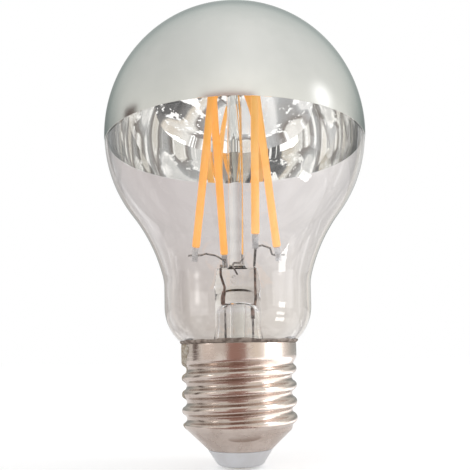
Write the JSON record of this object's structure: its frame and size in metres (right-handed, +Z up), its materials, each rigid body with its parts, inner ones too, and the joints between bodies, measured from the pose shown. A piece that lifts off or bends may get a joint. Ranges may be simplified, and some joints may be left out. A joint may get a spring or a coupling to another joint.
{
  "type": "silver crown bulb",
  "caption": "Round clear glass lamp with a mirrored crown, orange filament rods on a glass stem and a nickel screw cap.",
  "frame": {"origin": "lowest point of the contact, on the lamp's axis", "axes": "+Z up the axis towards the crown, -Y towards the picture's camera, +X to its right"},
  "size_m": [0.0602, 0.0602, 0.1051],
  "materials": {
    "clear_glass": "clear blown glass",
    "crown_coating": "silvered, satin outside and bright inside",
    "stem_glass": "clear pressed glass",
    "filament_coating": "orange phosphor in silicone",
    "nickel_wire": "drawn nickel iron wire",
    "seal_wire": "coppered seal wire",
    "nickel_sheet": "nickel plated, rolled",
    "white_insulator": "smooth white",
    "cement": "rough brown-grey capping cement",
    "contact_metal": "plain",
    "solder": "bright tin solder",
    "board": "pale laminate",
    "black_moulding": "moulded case",
    "capacitor_can": "drawn can",
    "resistor_body": "coated body"
  },
  "bodies": {
    "root": {"glass_envelope": "clear_glass", "crown_mirror": "crown_coating", "glass_stem": "stem_glass", "centre_post": "stem_glass", "exhaust_tube": "stem_glass", "filament_1": "filament_coating", "filament_2": "filament_coating", "filament_3": "filament_coating", "filament_4": "filament_coating", "lower_tab_1": "nickel_wire", "upper_tab_1": "nickel_wire", "lower_tab_2": "nickel_wire", "upper_tab_2": "nickel_wire", "lower_tab_3": "nickel_wire", "upper_tab_3": "nickel_wire", "lower_tab_4": "nickel_wire", "upper_tab_4": "nickel_wire", "top_wire_front": "nickel_wire", "top_wire_rear": "nickel_wire", "lead_left": "nickel_wire", "lead_right": "nickel_wire", "cross_wire_left": "nickel_wire", "cross_wire_right": "nickel_wire", "seal_wire_left": "seal_wire", "seal_wire_right": "seal_wire", "outer_lead_left": "nickel_wire", "outer_lead_right": "nickel_wire", "hook_wire": "nickel_wire", "screw_shell": "nickel_sheet", "insulator": "white_insulator", "cement_ring": "cement", "centre_contact": "contact_metal", "contact_solder": "solder", "driver_board": "board", "bridge_rectifier": "black_moulding", "driver_chip": "black_moulding", "input_capacitor": "capacitor_can", "fuse_resistor": "resistor_body", "resistor_lead": "nickel_wire", "side_lead": "nickel_wire", "centre_lead": "nickel_wire"}
  },
  "joints": []
}
